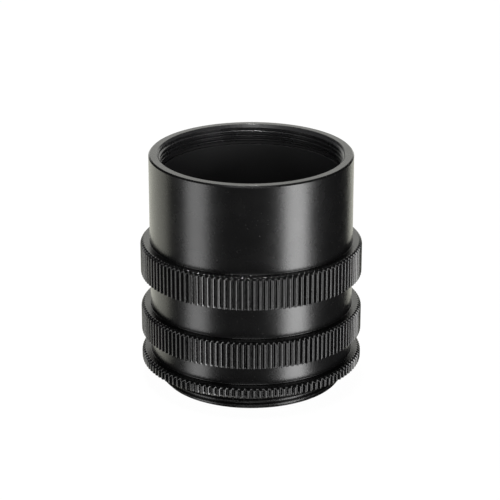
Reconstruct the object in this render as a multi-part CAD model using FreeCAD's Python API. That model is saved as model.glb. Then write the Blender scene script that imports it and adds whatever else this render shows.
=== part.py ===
import FreeCAD, Part
import math
import os

# A macro extension tube for a screw mount camera: three rings that screw into each other.
# Each ring is one turned piece of black aluminium. It has a plain neck with a thread inside
# its mouth, a knurled collar for the fingers, and a threaded spigot below the collar.
# The tube stands on the spigot of its shortest ring, with its axis on Z and z = 0 at that end.

# Seat to seat length that each ring adds between lens and camera, mm
short_length = 7.0
middle_length = 14.0
long_length = 28.0

# Height of each knurled collar above the seat face under it
short_collar_height = 2.3
middle_collar_height = 6.35
long_collar_height = 7.5

# The screw mount: nominal radius of the 42 mm by 1 mm thread, and the play round a spigot.
# The thread is drawn as plain cylinders, as on a workshop drawing.
thread_radius = 21.0
thread_play = 0.05

# Walls and steps, each measured along the radius
neck_wall = 2.1
collar_step = 2.15
bore_step = 0.6
spigot_wall = 1.75

# Spigot below the seat face, with a lead-in chamfer, and an undercut where its thread runs out.
# The undercut also dips into the seat face, past the thread, so that a rim seats on it flat.
spigot_length = 4.5
spigot_chamfer = 0.3
undercut_width = 0.8
undercut_depth = 0.75
undercut_rise = 0.15
undercut_lip = 0.15

# Socket in the mouth: how much deeper its thread runs than a spigot reaches
socket_run_on = 0.15

# Inner shelf, above the seat face, where the wide bore steps in to the bore of the spigot
shelf_height = 0.8

# Broken edges
rim_chamfer = 0.35
mouth_chamfer = 0.25
rib_top_chamfer = 0.6
rib_bottom_chamfer = 0.3

# Straight knurl: narrow flat ribs with V grooves between them, the whole height of a collar.
# Each ring has its own count, as the photo shows; an even one keeps the ring alike on all sides.
short_rib_count = 118
middle_rib_count = 126
long_rib_count = 118
groove_width = 0.85
groove_depth = 0.5

# How far a cutting shape runs past what it cuts
overrun = 0.4

# Radii that follow from the sizes above
spigot_radius = thread_radius - thread_play
neck_radius = thread_radius + neck_wall
collar_radius = neck_radius + collar_step
bore_radius = thread_radius - bore_step
rear_bore_radius = spigot_radius - spigot_wall

# Height of each seat face, from the end of the lowest spigot upwards
short_seat = spigot_length
middle_seat = short_seat + short_length
long_seat = middle_seat + middle_length

# The tube's axis
base = FreeCAD.Vector(0, 0, 0)
upward = FreeCAD.Vector(0, 0, 1)


def turned(outline):
    """A solid of revolution from a closed half section, given as (radius, height) corners."""
    corners = [FreeCAD.Vector(radius, 0, height) for radius, height in outline]
    section = Part.Face(Part.makePolygon(corners + corners[:1]))
    return section.revolve(base, upward, 360)


def spigot():
    """The threaded plug below the seat face, without its bore and its undercut."""
    return turned([
        (0, -spigot_length),
        (spigot_radius - spigot_chamfer, -spigot_length),
        (spigot_radius, -spigot_length + spigot_chamfer),
        (spigot_radius, 0),
        (0, 0),
    ])


def undercut():
    """The groove round the spigot's root, which rises a little way into the seat face."""
    inner_radius = spigot_radius - undercut_depth
    outer_radius = spigot_radius + undercut_lip
    return turned([
        (inner_radius, -undercut_width),
        (outer_radius, -undercut_width),
        (outer_radius, undercut_rise),
        (inner_radius, undercut_rise),
    ])


def neck(length, collar_height):
    """The plain cylinder above the collar, without its bore, with the rim's outer edge broken."""
    return turned([
        (0, collar_height),
        (neck_radius, collar_height),
        (neck_radius, length - rim_chamfer),
        (neck_radius - rim_chamfer, length),
        (0, length),
    ])


def inner_space(length):
    """What is bored out of a ring: the socket, the wide bore and the spigot's bore."""
    socket_floor = length - spigot_length - socket_run_on
    flare = mouth_chamfer + overrun
    return turned([
        (0, -spigot_length - overrun),
        (rear_bore_radius, -spigot_length - overrun),
        (rear_bore_radius, shelf_height),
        (bore_radius, shelf_height),
        (bore_radius, socket_floor),
        (thread_radius, socket_floor),
        (thread_radius, length - mouth_chamfer),
        (thread_radius + flare, length + overrun),
        (0, length + overrun),
    ])


def all_round(shape, rib_count):
    """Copies of a shape drawn at the angle of the first rib, one for each rib of a collar."""
    rib_angle = 360 / rib_count
    copies = []
    for rib in range(rib_count):
        copy = shape.copy()
        copy.rotate(base, upward, rib_angle * rib)
        copies.append(copy)
    return copies


def rib_end_cut(height, chamfer, outward, rib_count):
    """The wedge that bevels one end of the first rib; outward is 1 at its top and -1 below."""
    reach = collar_radius + overrun
    half_width = reach * math.tan(math.pi / rib_count)
    corners = [
        (collar_radius - chamfer - overrun, height + outward * overrun),
        (reach, height - outward * (chamfer + overrun)),
        (reach, height + outward * overrun),
    ]
    points = [FreeCAD.Vector(x, -half_width, z) for x, z in corners]
    side = Part.Face(Part.makePolygon(points + points[:1]))
    return side.extrude(FreeCAD.Vector(0, 2 * half_width, 0))


def knurled_collar(height, rib_count):
    """A disc with flat topped ribs and V grooves round it, and both ends of each rib bevelled."""
    half_pitch = math.pi / rib_count
    half_land = collar_radius * math.tan(half_pitch) - groove_width / 2
    root_radius = collar_radius - groove_depth
    outline = []
    for rib in range(rib_count):
        middle = 2 * half_pitch * rib
        groove = middle - half_pitch
        along = FreeCAD.Vector(math.cos(middle), math.sin(middle), 0)
        across = FreeCAD.Vector(-math.sin(middle), math.cos(middle), 0)
        root = FreeCAD.Vector(math.cos(groove), math.sin(groove), 0)
        outline.append(root * root_radius)
        outline.append(along * collar_radius - across * half_land)
        outline.append(along * collar_radius + across * half_land)
    section = Part.Face(Part.makePolygon(outline + outline[:1]))
    disc = section.extrude(upward * height)
    top_bevel = rib_end_cut(height, rib_top_chamfer, 1, rib_count)
    bottom_bevel = rib_end_cut(0, rib_bottom_chamfer, -1, rib_count)
    bevels = all_round(top_bevel, rib_count) + all_round(bottom_bevel, rib_count)
    return disc.cut(bevels)


def extension_ring(seat, length, collar_height, rib_count):
    """One ring in a single piece, with its seat face at the given height."""
    ring = knurled_collar(collar_height, rib_count)
    ring = ring.fuse([neck(length, collar_height), spigot()])
    ring = ring.cut([inner_space(length), undercut()])
    ring.translate(upward * seat)
    return ring


def save(shape, name):
    """Write one ring as a STEP file and say what it measures."""
    shape.exportStep(f"parts/{name}.step")
    box = shape.BoundBox
    print(f"{name}: {len(shape.Solids)} solid, {shape.Volume / 1000:.2f} cm3, "
          f"z {box.ZMin:.2f} to {box.ZMax:.2f}, across {box.XLength:.2f}")


os.makedirs("parts", exist_ok=True)
short = extension_ring(short_seat, short_length, short_collar_height, short_rib_count)
middle = extension_ring(middle_seat, middle_length, middle_collar_height, middle_rib_count)
long = extension_ring(long_seat, long_length, long_collar_height, long_rib_count)
save(short, "short_ring")
save(middle, "middle_ring")
save(long, "long_ring")
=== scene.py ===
# %% [markdown]
# Macro extension tube
#
# Three rings of black anodised aluminium, screwed together into one tube. Each ring is a single
# turned piece: a plain neck with a thread inside its mouth, a knurled collar for the fingers, and
# a threaded spigot below the collar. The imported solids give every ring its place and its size.
# This script gives the rings what a drawing leaves out: the turns of the threads, the rounded
# ribs of the knurl, the broken edges, and the satin finish that tells anodised metal from plastic.

# %% Load the solids
import math
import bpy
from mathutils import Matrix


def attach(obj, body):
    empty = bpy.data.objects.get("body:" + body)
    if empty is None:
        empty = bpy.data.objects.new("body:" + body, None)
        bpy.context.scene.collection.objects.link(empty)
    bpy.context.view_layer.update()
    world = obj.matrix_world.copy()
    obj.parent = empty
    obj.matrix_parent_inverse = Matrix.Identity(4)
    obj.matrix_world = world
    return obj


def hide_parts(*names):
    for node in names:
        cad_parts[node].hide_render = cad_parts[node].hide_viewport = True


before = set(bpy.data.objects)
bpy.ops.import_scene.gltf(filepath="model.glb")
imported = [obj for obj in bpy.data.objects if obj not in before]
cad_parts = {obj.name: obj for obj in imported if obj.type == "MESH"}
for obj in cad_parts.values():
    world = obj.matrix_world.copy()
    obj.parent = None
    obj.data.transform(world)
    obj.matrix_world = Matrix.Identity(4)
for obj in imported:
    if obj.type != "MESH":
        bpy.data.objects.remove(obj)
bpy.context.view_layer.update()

from types import SimpleNamespace

import bmesh
import bpy
import numpy as np
from mathutils import Vector

mm = 0.001

# %% [markdown]
# The camera
#
# The tube was photographed from a little above, through a long lens, so its upright edges are
# nearly parallel and the mouth is a flat ellipse. The ratio of that ellipse's axes gives the
# angle from above, and how much smaller the foot looks than the mouth gives the distance. The
# lens then follows from the width of the mouth in the picture. The camera is worked out first
# and never touched again.

# %% Place the camera
picture_width = 500
focal_pixels = 2105.8
axis_offset_pixels = 1.2
camera_elevation = math.radians(20.99)
camera_distance = 480.9 * mm
aim_height = 30.08 * mm

camera_data = bpy.data.cameras.new("camera")
camera_data.sensor_width = 36.0
camera_data.lens = camera_data.sensor_width * focal_pixels / picture_width
camera_data.shift_x = -axis_offset_pixels / picture_width
camera_data.clip_start = 0.01
camera_data.clip_end = 20.0
camera = bpy.data.objects.new("camera", camera_data)
bpy.context.scene.collection.objects.link(camera)
toward_camera = Vector((0, -math.cos(camera_elevation), math.sin(camera_elevation)))
camera.location = Vector((0, 0, aim_height)) + toward_camera * camera_distance
camera.rotation_mode = "QUATERNION"
camera.rotation_quaternion = (-toward_camera).to_track_quat("-Z", "Y")
bpy.context.scene.camera = camera
print("camera:", [round(x, 4) for x in camera.location], "lens:", round(camera_data.lens, 1), "mm")

# %% [markdown]
# The light
#
# Black anodised metal has hardly any colour of its own, so what is seen is what it reflects: a
# dim tall light on the left, a wider and brighter one on the right, and a white backdrop. Upright
# walls seen from above reflect what stands below eye level, so these reach below the floor, and
# the floor lets light and reflections through. The flat rim reflects a narrower white card that
# stands higher at the back. A fill light behind the camera reaches over the rim into the mouth,
# and a small lamp stands so nearly overhead that each collar shades the shoulder of the next.

# %% Lights
neutral, paper_white, card_white = (1.0, 1.0, 1.0), (1.0, 1.0, 0.88), (1.0, 1.0, 0.95)


def soft_box(name, azimuth, width, radiance, distance, height, middle, elevation=0.0, tint=neutral):
    """An area light at an azimuth from the tube (0 at the camera, 90 to the right), width in degrees."""
    data = bpy.data.lights.new(name, "AREA")
    data.shape = "RECTANGLE"
    data.size = 2 * distance * math.tan(math.radians(width) / 2)
    data.size_y = height
    data.energy = radiance * math.pi * data.size * data.size_y
    data.color = tint
    light = bpy.data.objects.new(name, data)
    turn, above = math.radians(azimuth), math.radians(elevation)
    level = math.cos(above)
    away = Vector((math.sin(turn) * level, -math.cos(turn) * level, math.sin(above)))
    light.location = away * distance + Vector((0, 0, middle))
    light.rotation_mode = "QUATERNION"
    light.rotation_quaternion = away.to_track_quat("Z", "Y")
    light.visible_camera = False
    bpy.context.scene.collection.objects.link(light)
    print(f"{name}: {data.size:.2f} by {data.size_y:.2f} m, {data.energy:.2f} W")


soft_box("left_light", azimuth=-63, width=25, radiance=4.0, distance=0.9, height=1.40, middle=-0.37)
soft_box("right_light", azimuth=51, width=27, radiance=9.4, distance=0.9, height=1.40, middle=-0.37)
soft_box("fill_light", azimuth=0, width=40, radiance=3.5, distance=0.9, height=0.34, middle=0.25)
soft_box("backdrop_light", azimuth=198, width=110, radiance=1.15, distance=1.0, height=1.5, middle=-0.85,
         tint=paper_white)
soft_box("rim_light", azimuth=180, width=56, radiance=1.2, distance=1.0, height=0.8, middle=0.3,
         tint=card_white)
soft_box("top_light", azimuth=-150, width=6, radiance=300, distance=1.2, height=0.13, middle=0.0,
         elevation=87.5)

# %% [markdown]
# The floor and the room
#
# The tube stands on white paper that is burnt out to pure white right up to its foot. The paper
# therefore glows by itself, evenly, and only a small part of its light is what falls on it: that
# part carries the faint shadow at the foot. Only its upper side shows, so that the tube can be
# looked at from below too. The room is white where the camera sees past the paper, and nearly
# dark for everything else, so the metal keeps its black.

# %% Floor and room
floor_mesh = bpy.data.meshes.new("floor")
half_floor, floor_gap = 3.0, 0.02 * mm
floor_signs = ((-1, -1), (1, -1), (1, 1), (-1, 1))
floor_corners = [(x * half_floor, y * half_floor, -floor_gap) for x, y in floor_signs]
floor_mesh.from_pydata(floor_corners, [], [(0, 1, 2, 3)])
floor = bpy.data.objects.new("floor", floor_mesh)
bpy.context.scene.collection.objects.link(floor)
floor.visible_glossy = False
floor.visible_shadow = False

paper = bpy.data.materials.new("floor_paper")
paper.use_nodes = True
paper_shader = paper.node_tree.nodes["Principled BSDF"]
paper_shader.inputs["Base Color"].default_value = (0.03, 0.03, 0.03, 1)
paper_shader.inputs["Roughness"].default_value = 0.9
paper_shader.inputs["Specular IOR Level"].default_value = 0.0
paper_shader.inputs["Emission Color"].default_value = (1, 1, 1, 1)
paper_shader.inputs["Emission Strength"].default_value = 0.98
floor_mesh.materials.append(paper)

nodes, links = paper.node_tree.nodes, paper.node_tree.links
paper_side, upper_only = nodes.new("ShaderNodeNewGeometry"), nodes.new("ShaderNodeMath")
upper_only.operation = "SUBTRACT"
upper_only.inputs[0].default_value = 1.0
links.new(paper_side.outputs["Backfacing"], upper_only.inputs[1])
links.new(upper_only.outputs[0], paper_shader.inputs["Alpha"])

room = bpy.data.worlds.new("room")
bpy.context.scene.world = room
room.use_nodes = True
nodes, links = room.node_tree.nodes, room.node_tree.links
dark, white = nodes["Background"], nodes.new("ShaderNodeBackground")
dark.inputs["Color"].default_value = (1, 1, 1, 1)
dark.inputs["Strength"].default_value = 0.03
white.inputs["Color"].default_value = (1, 1, 1, 1)
seen = nodes.new("ShaderNodeLightPath")
mix = nodes.new("ShaderNodeMixShader")
links.new(seen.outputs["Is Camera Ray"], mix.inputs["Fac"])
links.new(dark.outputs[0], mix.inputs[1])
links.new(white.outputs[0], mix.inputs[2])
links.new(mix.outputs[0], nodes["World Output"].inputs["Surface"])
bpy.context.scene.view_settings.view_transform = "Standard"
print("floor at", -floor_gap / mm, "mm, room strength", dark.inputs["Strength"].default_value)

# %% [markdown]
# Sizes
#
# The heights differ from ring to ring, so they are read from the solids: a ring's foot and front
# face are the ends of its box, and its collar is whatever stands further out than the neck. The
# radii and the small steps are the same on all three rings, so they are written here once.

# %% Name the sizes
thread_pitch = 1.0 * mm
thread_crest = 20.95 * mm
thread_depth = 0.60 * mm
thread_play = 0.05 * mm
lead_in = 0.3 * mm
neck_radius = 23.1 * mm
collar_radius = 25.25 * mm
bore_radius = 20.4 * mm
rear_bore_radius = 19.2 * mm
undercut_width = 0.8 * mm
undercut_radius = 20.2 * mm
undercut_rise = 0.15 * mm
undercut_reach = 21.1 * mm
socket_depth = 4.65 * mm
relief_height = 0.5 * mm
shelf_height = 0.8 * mm
rim_chamfer = 0.35 * mm
mouth_radius = 21.25 * mm
foot_fillet = 0.15 * mm
broken_edge = 0.06 * mm
past_neck = 0.5 * mm


def measure(node):
    """Foot and front are the ends of a ring's vertices; seat and top, of those further out than the neck."""
    points = np.zeros(len(node.data.vertices) * 3)
    node.data.vertices.foreach_get("co", points)
    points = points.reshape(-1, 3)
    height = points[:, 2]
    collar = height[np.hypot(points[:, 0], points[:, 1]) > neck_radius + past_neck]
    return SimpleNamespace(foot=height.min(), seat=collar.min(), top=collar.max(), front=height.max())


for name in ("short_ring", "middle_ring", "long_ring"):
    print(name, {key: round(h / mm, 2) for key, h in vars(measure(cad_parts[name])).items()})

# %% [markdown]
# How a turned surface is made
#
# On a lathe the work turns and the tool draws half of its section. The same idea makes the mesh:
# an outline of (radius, height) points is carried round the axis as one numpy grid, with a row
# for each point and a column for each degree. A lathe never leaves a perfectly sharp corner, and
# neither does this outline: each corner gets a small arc. Two extra points, close to the ends of
# the arc, keep the smooth shading of the arc from spreading over the flat beside it.

# %% Outlines and turned grids
column_count = 360
round_angles = np.linspace(0, 2 * np.pi, column_count + 1)
guard = 0.04 * mm


def around(radius, height, angle):
    """Points on circles round the axis: (radius cos angle, radius sin angle, height)."""
    radius, height, angle = np.broadcast_arrays(radius, height, angle)
    return np.stack([radius * np.cos(angle), radius * np.sin(angle), height], axis=-1)


def soften(corner, before, after, size, steps=4):
    """An arc of the given radius that touches both sides of a corner, with a guard point past each end.

    It touches at size / tan(half the corner's angle) from the corner, and its points are the
    spherical mix of the two radii that end there."""
    back = (before - corner) / np.linalg.norm(before - corner)
    ahead = (after - corner) / np.linalg.norm(after - corner)
    angle = math.acos(float(np.clip(back @ ahead, -1, 1)))
    reach = size / math.tan(angle / 2)
    centre = corner + (back + ahead) / np.linalg.norm(back + ahead) * size / math.sin(angle / 2)
    start, end = corner + back * reach - centre, corner + ahead * reach - centre
    sweep = math.pi - angle
    share = np.linspace(0, 1, steps + 1)[:, None]
    arc = centre + (np.sin((1 - share) * sweep) * start + np.sin(share * sweep) * end) / math.sin(sweep)
    return np.vstack([corner + back * (reach + guard), arc, corner + ahead * (reach + guard)])


def outline(*corners):
    """An open outline from corners of (radius, height), or (radius, height, size) to round one."""
    points = np.array([corner[:2] for corner in corners])
    parts = [points[:1]]
    for before, corner, after, spec in zip(points, points[1:], points[2:], corners[1:]):
        parts.append(soften(corner, before, after, spec[2]) if len(spec) == 3 else corner[None])
    return np.vstack(parts + [points[-1:]])


def turned(points):
    """Carry an outline round the axis: row k is the circle of its point k."""
    return around(points[:, :1], points[:, 1:], round_angles)


trial_corner = outline((0, 0), (1 * mm, 0, broken_edge), (1 * mm, 1 * mm))
print("a broken edge takes", len(trial_corner) - 2, "points,", len(round_angles), "columns go round")

# %% [markdown]
# The knurl
#
# A coin edge knurl is pressed into the collar by a toothed wheel, so its ribs have rounded crests
# and soft flanks, with a narrow valley between them. The valley is a smooth step down from the
# crest and up again, which is what a full wheel leaves. Both ends of each rib are bevelled by a
# cutter afterwards. Three depths are measured at each point, down the flank, the upper bevel and
# the lower bevel, and they add up as the sides of a right triangle do, so corners come out round.

# %% The knurl as a formula
rib_count = {"short": 118, "middle": 126, "long": 118}
columns_a_rib = 12
crest_share = 0.1
groove_depth = 0.55 * mm
top_bevel = 0.6 * mm
bottom_bevel = 0.12 * mm
edge_softness = 0.03 * mm
bevel_rows, past_bevel = 8, 1.25
bevel_stations = np.linspace(0, past_bevel, bevel_rows)


def ramp(x):
    """A smooth step from 0 to 1: x squared times (3 - 2 x), with x held between 0 and 1."""
    x = np.clip(x, 0, 1)
    return x * x * (3 - 2 * x)


def eased(distance):
    """Zero before an edge and the distance past it, with a soft start: k log(1 + exp(distance / k))."""
    return edge_softness * np.logaddexp(0, distance / edge_softness)


def knurl_grid(bottom, top, ribs):
    """Rows from the bottom to the top of a collar, with the same columns for each rib.

    radius = collar radius - sqrt(flank squared + upper bevel squared + lower bevel squared)"""
    stations = np.arange(ribs * columns_a_rib + 1) / columns_a_rib
    from_crest = 2 * np.abs(stations - np.round(stations))
    lower_rows = bottom + bevel_stations * bottom_bevel
    upper_rows = top - bevel_stations[::-1] * top_bevel
    height = np.concatenate([lower_rows, upper_rows])[:, None]
    flank = groove_depth * ramp((from_crest - crest_share) / (1 - crest_share))
    upper = eased(height - (top - top_bevel))
    lower = eased(bottom + bottom_bevel - height)
    depth = np.sqrt(flank ** 2 + upper ** 2 + lower ** 2)
    return around(collar_radius - depth, height, stations * 2 * np.pi / ribs)


for name, ribs in rib_count.items():
    print(f"{name} collar: {ribs} ribs, {2 * math.pi * collar_radius / ribs / mm:.2f} mm apart")

# %% [markdown]
# The threads
#
# A screw thread is a 60 degree ridge wound round the cylinder. Cut as a stack of rings it would
# be wrong, since a ring never climbs, and cut from a helical sweep it would need a boolean. Here
# each row of the grid climbs by one pitch on its way round, so the ridge runs along the rows and
# stays crisp, and the last column meets the first one row pattern higher up. Rows that would
# leave the threaded length are pressed flat against its ends, where they merge into one circle.
# The radius at a point comes from its distance to the nearest ridge or groove line. The rows, and
# the half widths of a ridge and a groove, are shares of the pitch, closest at the thread's corners.

# %% The threads as a formula
thread_rows = np.array([-0.42, -0.37, -0.22, -0.10, -0.06, 0.0, 0.06, 0.10, 0.22, 0.37, 0.42, 0.5])
flank_rise = math.sqrt(3)
crest_half_width = 1 / 16
groove_half_width = 0.10
thread_root = thread_crest + thread_play
inner_wall = thread_crest - thread_depth + 2 * thread_play


def off_line(height, angle, start, half_width):
    """Distance from a point to the flat of the nearest thread line, less than zero on the flat."""
    phase = (height - start) / thread_pitch - angle / (2 * np.pi)
    return (np.abs(phase - np.round(phase)) - half_width) * thread_pitch


def helical_grid(low, high, start, radius_of):
    """Rows that climb one pitch a turn between two heights; radius_of(height, angle) shapes them."""
    first = math.floor((low - start) / thread_pitch) - 2
    last = math.ceil((high - start) / thread_pitch) + 1
    rows = (np.arange(first, last + 1)[:, None] + thread_rows).ravel() * thread_pitch + start
    height = rows[:, None] + thread_pitch * round_angles / (2 * np.pi)
    below, above = (height.max(axis=1) <= low).sum(), (height.min(axis=1) >= high).sum()
    height = np.clip(height[below - 1:len(height) - above + 1], low, high)
    return around(radius_of(height, round_angles), height, round_angles)


def spigot_thread(foot, end, start):
    """Male thread: crest - flank depth, with a 45 degree lead-in cone at the foot."""
    def radius_of(height, angle):
        down_flank = off_line(height, angle, start, crest_half_width) * flank_rise
        ridge = thread_crest - np.clip(down_flank, 0, thread_depth)
        return np.minimum(ridge, thread_crest - lead_in + height - foot)

    cone_end = foot + lead_in
    return np.concatenate([
        helical_grid(foot, cone_end, start, radius_of),
        helical_grid(cone_end, end, start, radius_of),
    ])


def mouth_thread(front, relief_top, start):
    """Female thread: a groove in the wall, with a countersink above and a cone into the relief below."""
    full_depth = thread_root - inner_wall

    def radius_of(height, angle):
        down_flank = off_line(height, angle, start, groove_half_width) * flank_rise
        groove = thread_root - np.clip(down_flank, 0, full_depth)
        countersink = mouth_radius + height - front
        cone = thread_root - (height - relief_top)
        return np.maximum(np.maximum(groove, countersink), cone)

    knots = [
        front,
        front + thread_root - mouth_radius,
        front + inner_wall - mouth_radius,
        relief_top + full_depth,
        relief_top,
    ]
    bands = [helical_grid(low, high, start, radius_of)[::-1] for high, low in zip(knots, knots[1:])]
    return np.concatenate(bands)


overlap = (thread_crest - inner_wall) / mm
print(f"thread: {thread_pitch / mm} mm pitch, {overlap:.2f} mm of overlap")

# %% [markdown]
# From grids to one closed piece
#
# A real ring has no seams, so its mesh has none either. The grids are laid end to end in the
# order in which a finger would trace the section: up the spigot, out along the seat face, up the
# knurl, in over the shoulder, up the neck, over the rim, down the mouth and back to the start.
# Each grid begins on the circle where the last one ended. The knurl has more columns than the
# neck, and a band of triangles on the flat shoulder, zipped from both circles, takes that up.

# %% Faces of grids and bands
class Skin:
    """Collects the points and faces of one piece, with the finish that each face takes."""

    def __init__(self):
        self.points, self.faces, self.finish = [], [], []
        self.count = 0

    def add(self, points, faces, finish):
        self.points.append(points.reshape(-1, 3))
        self.faces += (faces + self.count).tolist()
        self.finish.append(np.full(len(faces), finish))
        self.count += len(self.points[-1])

    def grid(self, grid, finish):
        """Quads between neighbouring rows and columns."""
        rows, columns = grid.shape[:2]
        index = np.arange(rows * columns).reshape(rows, columns)
        quads = [index[:-1, :-1], index[:-1, 1:], index[1:, 1:], index[1:, :-1]]
        self.add(grid, np.stack(quads, axis=-1).reshape(-1, 4), finish)

    def zip_circles(self, outer, inner, faces_up, finish):
        """Triangles between two circles; each steps along the circle whose next point comes first."""
        steps, inner_steps = len(outer) - 1, len(inner) - 1
        outer_share = np.arange(1, steps + 1) / steps
        inner_share = np.arange(1, inner_steps + 1) / inner_steps
        on_outer = np.argsort(np.concatenate([outer_share, inner_share]), kind="stable") < steps
        a = np.cumsum(on_outer) - on_outer
        b = np.cumsum(~on_outer) - ~on_outer + len(outer)
        triangles = np.stack([a, np.where(on_outer, a + 1, b + 1), b], axis=-1)
        self.add(np.concatenate([outer, inner]), triangles if faces_up else triangles[:, ::-1], finish)


# %% [markdown]
# The edge mask
#
# Handling polishes the corners of anodised metal first, so the finish needs to know where the
# corners are. Each vertex is compared with its neighbours: the mean, over its edges, of how far
# its normal leans along the edge toward it is zero on a flat and grows where the surface bends
# outward. The number is kept on the mesh, where the material reads it and where it moves along.

# %% Weld and measure a mesh
def standing_out(mesh):
    """For each vertex, the mean over its edges of normal . (vertex - neighbour) / length, 0 or more."""
    count = len(mesh.vertices)
    points, normals = np.zeros(count * 3), np.zeros(count * 3)
    ends = np.zeros(len(mesh.edges) * 2, dtype=np.int32)
    mesh.vertices.foreach_get("co", points)
    mesh.vertices.foreach_get("normal", normals)
    mesh.edges.foreach_get("vertices", ends)
    points, normals = points.reshape(-1, 3), normals.reshape(-1, 3)
    first, second = ends.reshape(-1, 2).T
    step = points[second] - points[first]
    step /= np.linalg.norm(step, axis=1)[:, None]
    lean_first = -(normals[first] * step).sum(axis=1)
    lean_second = (normals[second] * step).sum(axis=1)
    total = np.bincount(first, lean_first, count) + np.bincount(second, lean_second, count)
    edges = np.bincount(first, minlength=count) + np.bincount(second, minlength=count)
    return np.clip(total / edges, 0, 1)


def to_mesh(skin, name, materials):
    """One closed mesh: grid edges that share their points are merged, and faces shade smoothly."""
    mesh = bpy.data.meshes.new(name)
    mesh.from_pydata(np.concatenate(skin.points).tolist(), [], skin.faces)
    for material in materials:
        mesh.materials.append(material)
    mesh.polygons.foreach_set("material_index", np.concatenate(skin.finish).astype(np.int32))
    shape = bmesh.new()
    shape.from_mesh(mesh)
    bmesh.ops.remove_doubles(shape, verts=shape.verts, dist=0.001 * mm)
    open_edges = sum(not edge.is_manifold for edge in shape.edges)
    triangles = sum(len(face.verts) - 2 for face in shape.faces)
    print(f"{name}: {triangles} triangles, {open_edges} open edges, {shape.calc_volume() * 1e6:.2f} cm3")
    shape.to_mesh(mesh)
    shape.free()
    mesh.shade_smooth()
    mesh.attributes.new("edge", "FLOAT", "POINT").data.foreach_set("value", standing_out(mesh))
    return mesh


# %% [markdown]
# Node helpers
#
# The finish is built from a few effects that all the metal shares, and each effect is a node
# group with its own inputs. A few short functions keep the wiring readable. One sets a socket from
# a number or links it from another socket, and the others make a sum, a noise, a smooth step, a
# mix of two colours and an empty group. They work in the same way in a group and in a material.

# %% Short functions for node trees
def feed(tree, slot, value):
    """Give a socket a number, or link it from another socket."""
    if isinstance(value, bpy.types.NodeSocket):
        tree.links.new(value, slot)
    else:
        slot.default_value = value


def sum_node(tree, operation, *values):
    """A Math node, for example ADD or MULTIPLY, with numbers or sockets as its inputs."""
    node = tree.nodes.new("ShaderNodeMath")
    node.operation = operation
    for slot, value in zip(node.inputs, values):
        feed(tree, slot, value)
    return node.outputs["Value"]


def noise_node(tree, place, scale, detail, roughness):
    """Noise between 0 and 1 in three dimensions, scale being its cells in a metre."""
    node = tree.nodes.new("ShaderNodeTexNoise")
    feed(tree, node.inputs["Vector"], place)
    feed(tree, node.inputs["Scale"], scale)
    feed(tree, node.inputs["Detail"], detail)
    feed(tree, node.inputs["Roughness"], roughness)
    return node.outputs["Fac"]


def between(tree, value, low, high):
    """0 up to low, 1 from high on, and a smooth step between them."""
    node = tree.nodes.new("ShaderNodeMapRange")
    node.interpolation_type = "SMOOTHSTEP"
    feed(tree, node.inputs["Value"], value)
    feed(tree, node.inputs["From Min"], low)
    feed(tree, node.inputs["From Max"], high)
    return node.outputs["Result"]


def mixed(tree, share, first, second):
    """The first colour with a share of the second in it."""
    node = tree.nodes.new("ShaderNodeMix")
    node.data_type = "RGBA"
    share_slot, first_slot, second_slot = node.inputs[0], node.inputs[6], node.inputs[7]
    feed(tree, share_slot, share)
    feed(tree, first_slot, first)
    feed(tree, second_slot, second)
    return node.outputs[2]


def effect(name, numbers, outputs):
    """An empty node group with a place and the given numbers going in, and values coming out."""
    tree = bpy.data.node_groups.new(name, "ShaderNodeTree")
    tree.interface.new_socket("Place", in_out="INPUT", socket_type="NodeSocketVector")
    for label, value in numbers.items():
        socket = tree.interface.new_socket(label, in_out="INPUT", socket_type="NodeSocketFloat")
        socket.default_value = value
    for label in outputs:
        tree.interface.new_socket(label, in_out="OUTPUT", socket_type="NodeSocketFloat")
    return tree, tree.nodes.new("NodeGroupInput").outputs, tree.nodes.new("NodeGroupOutput").inputs


# %% [markdown]
# Grain and turning marks
#
# Anodising grows a glassy layer on metal that was etched first, and the etch leaves a very fine
# grain that makes the gloss satin. Under it the lathe's marks still run round the axis. The grain
# is fine noise with a slow drift of its sheen. The marks are noise in one dimension, read along
# the height plus part of the radius, so they run round walls, flats and chamfers alike.

# %% Groups for grain and marks
grain, ins, outs = effect("fine_grain", {"Drift": 0.1}, ["Height", "Sheen"])
fine = noise_node(grain, ins["Place"], scale=4000.0, detail=4.0, roughness=0.6)
slow = noise_node(grain, ins["Place"], scale=180.0, detail=3.0, roughness=0.55)
up_and_down = sum_node(grain, "SUBTRACT", slow, 0.5)
feed(grain, outs["Height"], fine)
feed(grain, outs["Sheen"], sum_node(grain, "MULTIPLY", up_and_down, ins["Drift"]))

radius_share = 0.7
marks, ins, outs = effect("turning_marks", {"Spacing": 0.15 * mm}, ["Height"])
split = marks.nodes.new("ShaderNodeSeparateXYZ")
feed(marks, split.inputs["Vector"], ins["Place"])
x_squared = sum_node(marks, "MULTIPLY", split.outputs["X"], split.outputs["X"])
radius_squared = sum_node(marks, "MULTIPLY_ADD", split.outputs["Y"], split.outputs["Y"], x_squared)
radius = sum_node(marks, "SQRT", radius_squared)
along = sum_node(marks, "MULTIPLY_ADD", radius, radius_share, split.outputs["Z"])
lines = marks.nodes.new("ShaderNodeTexNoise")
lines.noise_dimensions = "1D"
feed(marks, lines.inputs["W"], sum_node(marks, "DIVIDE", along, ins["Spacing"]))
feed(marks, lines.inputs["Scale"], 1.0)
feed(marks, lines.inputs["Detail"], 3.0)
patchy = noise_node(marks, ins["Place"], scale=90.0, detail=2.0, roughness=0.5)
patches = between(marks, patchy, low=0.25, high=0.75)
feed(marks, outs["Height"], sum_node(marks, "MULTIPLY", lines.outputs["Fac"], patches))
print("groups:", grain.name, marks.name)

# %% [markdown]
# Wear and dust
#
# Where the edge mask says that a corner stands out, the black is rubbed a little greyer, but only
# in places, so noise breaks the line up. Dust lies as small pale specks over everything that has
# been on a table, and each speck also dulls the gloss under it. Both are kept faint, because the
# tube is in good order.

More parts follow.
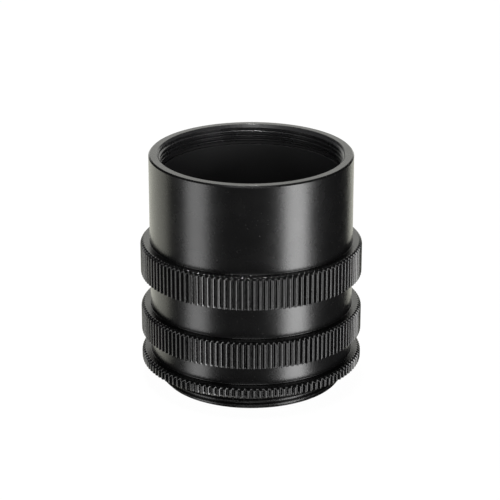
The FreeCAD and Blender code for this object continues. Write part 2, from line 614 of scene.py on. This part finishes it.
# %% Groups for wear and dust
wear, ins, outs = effect("edge_wear", {"Amount": 0.5}, ["Mask"])
edge = wear.nodes.new("ShaderNodeAttribute")
edge.attribute_name = "edge"
stands_out = between(wear, edge.outputs["Fac"], low=0.06, high=0.25)
patchy = noise_node(wear, ins["Place"], scale=700.0, detail=3.0, roughness=0.6)
rubbed = between(wear, patchy, low=0.35, high=0.7)
worn = sum_node(wear, "MULTIPLY", stands_out, rubbed)
feed(wear, outs["Mask"], sum_node(wear, "MULTIPLY", worn, ins["Amount"]))

dust, ins, outs = effect("settled_dust", {"Amount": 0.5}, ["Mask"])
patchy = noise_node(dust, ins["Place"], scale=2200.0, detail=2.0, roughness=0.5)
specks = between(dust, patchy, low=0.70, high=0.78)
feed(dust, outs["Mask"], sum_node(dust, "MULTIPLY", specks, ins["Amount"]))
print("groups:", wear.name, dust.name)

# %% [markdown]
# The four finishes
#
# Outside, the rings are satin black: a black so deep that the light in it is nearly all gloss.
# The knurling wheel burnishes the ribs, so they shine a little more, in thin lines. The thread in
# the mouth keeps some of the shine of a fresh cut. The bore has the same layer over a rougher
# surface, so that stray light dies out on its way to the film, and it looks matt. The thread and
# the bore are also given a black about nine times lighter than the outside's. That is painted
# light: it stands in for the light that hardly reaches into the mouth and the bore. One function
# wires all four, from the same four effects with different numbers, because on the real tube they
# come out of the same bath.

# %% Materials
blue_lean = 1.05
rubbed_grey = (0.05, 0.05, 0.052, 1)
dust_grey = (0.16, 0.155, 0.15, 1)
dust_dullness = 0.4


def anodised(name, black, roughness, gloss, sheen_drift,
             mark_spacing, mark_share, bump, wear_amount, dust_amount):
    """Principled shader: wear and dust in its colour, drift in its roughness, marks and grain as bump."""
    material = bpy.data.materials.new(name)
    material.use_nodes = True
    tree = material.node_tree
    shader = tree.nodes["Principled BSDF"]
    place = tree.nodes.new("ShaderNodeTexCoord").outputs["Object"]

    def placed(group, **numbers):
        node = tree.nodes.new("ShaderNodeGroup")
        node.node_tree = group
        feed(tree, node.inputs["Place"], place)
        for label, value in numbers.items():
            feed(tree, node.inputs[label], value)
        return node.outputs

    grain_out = placed(grain, Drift=sheen_drift)
    marks_out = placed(marks, Spacing=mark_spacing)
    wear_mask = placed(wear, Amount=wear_amount)["Mask"]
    dust_mask = placed(dust, Amount=dust_amount)["Mask"]

    worn = mixed(tree, wear_mask, (black, black, black * blue_lean, 1), rubbed_grey)
    feed(tree, shader.inputs["Base Color"], mixed(tree, dust_mask, worn, dust_grey))

    dull = sum_node(tree, "MULTIPLY_ADD", dust_mask, dust_dullness, grain_out["Sheen"])
    feed(tree, shader.inputs["Roughness"], sum_node(tree, "ADD", dull, roughness))
    feed(tree, shader.inputs["Specular IOR Level"], gloss)

    surface = tree.nodes.new("ShaderNodeBump")
    height = sum_node(tree, "MULTIPLY_ADD", marks_out["Height"], mark_share, grain_out["Height"])
    feed(tree, surface.inputs["Height"], height)
    feed(tree, surface.inputs["Strength"], 1.0)
    feed(tree, surface.inputs["Distance"], bump)
    feed(tree, shader.inputs["Normal"], surface.outputs["Normal"])
    print(f"{name}: black {black}, roughness {roughness}, {len(tree.nodes)} nodes")
    return material


outside = anodised("black_satin_anodised", black=0.0018, roughness=0.27, gloss=0.5, sheen_drift=0.08,
                   mark_spacing=0.15 * mm, mark_share=1.0, bump=0.013 * mm, wear_amount=0.5, dust_amount=0.15)
knurled = anodised("black_burnished_knurl", black=0.0018, roughness=0.16, gloss=0.5, sheen_drift=0.06,
                   mark_spacing=0.4 * mm, mark_share=0.5, bump=0.005 * mm, wear_amount=0.6, dust_amount=0.15)
# painted light: the thread's black, 0.016 against 0.0018 outside, stands in for light that hardly reaches the
# mouth
threaded = anodised("black_cut_thread_painted_lighter", black=0.016, roughness=0.28, gloss=0.5, sheen_drift=0.10,
                    mark_spacing=0.2 * mm, mark_share=0.6, bump=0.006 * mm, wear_amount=0.6, dust_amount=0.2)
# painted light: the bore's black, 0.017, stands in for light that hardly reaches the bore; its roughness 0.55
# is the real matt
inside = anodised("black_matt_bore_painted_lighter", black=0.017, roughness=0.55, gloss=0.35, sheen_drift=0.12,
                  mark_spacing=0.25 * mm, mark_share=1.2, bump=0.008 * mm, wear_amount=0.25, dust_amount=0.2)

# %% [markdown]
# Spigot and seat face
#
# The spigot starts at the ring's foot with a small lead-in, so that it finds its hole, and its
# thread runs up to an undercut. The undercut gives the threading tool a place to leave the cut,
# and it rises a little way into the seat face, so that the next rim seats flat and close. The
# band of zipped triangles lies on the flats of the collar, a little inside the bevels of the ribs.

# %% Lower half of a ring
band_start, band_end = 0.85 * mm, 1.15 * mm
shoulder_outer, shoulder_inner = collar_radius - band_start, collar_radius - band_end
satin, burnished, cut, matt = 0, 1, 2, 3


def lower_half(skin, ring, thread_start):
    """Add the spigot and the seat face; give back the circles that they begin and end on."""
    thread_end = ring.seat - undercut_width
    thread = spigot_thread(ring.foot, thread_end, ring.seat + thread_start)
    seat = turned(outline(
        (undercut_radius, thread_end),
        (undercut_radius, ring.seat + undercut_rise, broken_edge),
        (undercut_reach, ring.seat + undercut_rise, broken_edge),
        (undercut_reach, ring.seat, broken_edge),
        (shoulder_inner, ring.seat),
    ))
    skin.grid(np.concatenate([thread, seat]), satin)
    return thread[0], seat[-1]


# %% [markdown]
# Collar and neck
#
# The collar is the knurl with a flat face at each end. Above it the neck rises out of a very
# small fillet, the nose radius of the tool, and ends in a rim whose outer edge is chamfered.
# The flat rim is what the next ring, or the lens, seats on.

# %% Upper half of a ring
def upper_half(skin, ring, ribs, seat_circle):
    """Add the collar, the shoulder, the neck and the rim."""
    knurl = knurl_grid(ring.seat, ring.top, ribs)
    angles = np.linspace(0, 2 * np.pi, knurl.shape[1])
    low_circle = around(shoulder_outer, ring.seat, angles)
    high_circle = around(shoulder_outer, ring.top, angles)
    skin.zip_circles(low_circle, seat_circle, False, satin)
    skin.grid(np.concatenate([low_circle[None], knurl, high_circle[None]]), burnished)
    neck = turned(outline(
        (shoulder_inner, ring.top),
        (neck_radius, ring.top, foot_fillet),
        (neck_radius, ring.front - rim_chamfer, broken_edge),
        (neck_radius - rim_chamfer, ring.front, broken_edge),
        (mouth_radius + guard, ring.front),
        (mouth_radius, ring.front),
    ))
    skin.zip_circles(high_circle, neck[0], True, satin)
    skin.grid(neck, satin)


# %% [markdown]
# Mouth and bore
#
# The thread in the mouth ends in a relief as wide as its root, so a spigot can be screwed right
# home. Below the relief the bore narrows, and at the shelf it steps in once more to the bore of
# the spigot. The last circle is the one that the spigot began with, which closes the ring.

# %% Inside of a ring
def inner_surface(skin, ring, thread_start, foot_circle):
    """Add the mouth's thread, the relief, the bore, the shelf and the end face of the spigot."""
    socket_floor = ring.front - socket_depth
    relief_top = socket_floor + relief_height
    shelf = ring.seat + shelf_height
    skin.grid(mouth_thread(ring.front, relief_top, ring.front + thread_start), cut)
    bore = turned(outline(
        (thread_root, relief_top),
        (thread_root, socket_floor, broken_edge),
        (bore_radius, socket_floor, broken_edge),
        (bore_radius, shelf, broken_edge),
        (rear_bore_radius, shelf, broken_edge),
        (rear_bore_radius, ring.foot, broken_edge),
        (thread_crest - thread_depth - guard, ring.foot),
    ))
    skin.grid(np.concatenate([bore, foot_circle[None]]), matt)


# %% [markdown]
# Three rings in place
#
# All three rings come out of the same functions with different lengths, as on the maker's lathe.
# The threads of two rings that are screwed together must mesh, so each spigot inside the stack
# starts its thread where the mouth below it does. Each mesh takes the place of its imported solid
# and rides the same body.

# %% Make the rings
mouth_start = -0.30 * mm
spigot_start = {"short": -0.45 * mm, "middle": mouth_start, "long": mouth_start}

for body in ("short", "middle", "long"):
    node = body + "_ring"
    ring = measure(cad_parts[node])
    skin = Skin()
    foot_circle, seat_circle = lower_half(skin, ring, spigot_start[body])
    upper_half(skin, ring, rib_count[body], seat_circle)
    inner_surface(skin, ring, mouth_start, foot_circle)
    mesh = to_mesh(skin, node + "_turned", [outside, knurled, threaded, inside])
    piece = bpy.data.objects.new(node + "_turned", mesh)
    bpy.context.scene.collection.objects.link(piece)
    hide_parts(node)
    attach(piece, body)

# %% [markdown]
# The boxes
#
# The finished pieces have to stay inside the box of the solids, since the solids are what the
# other tools know.
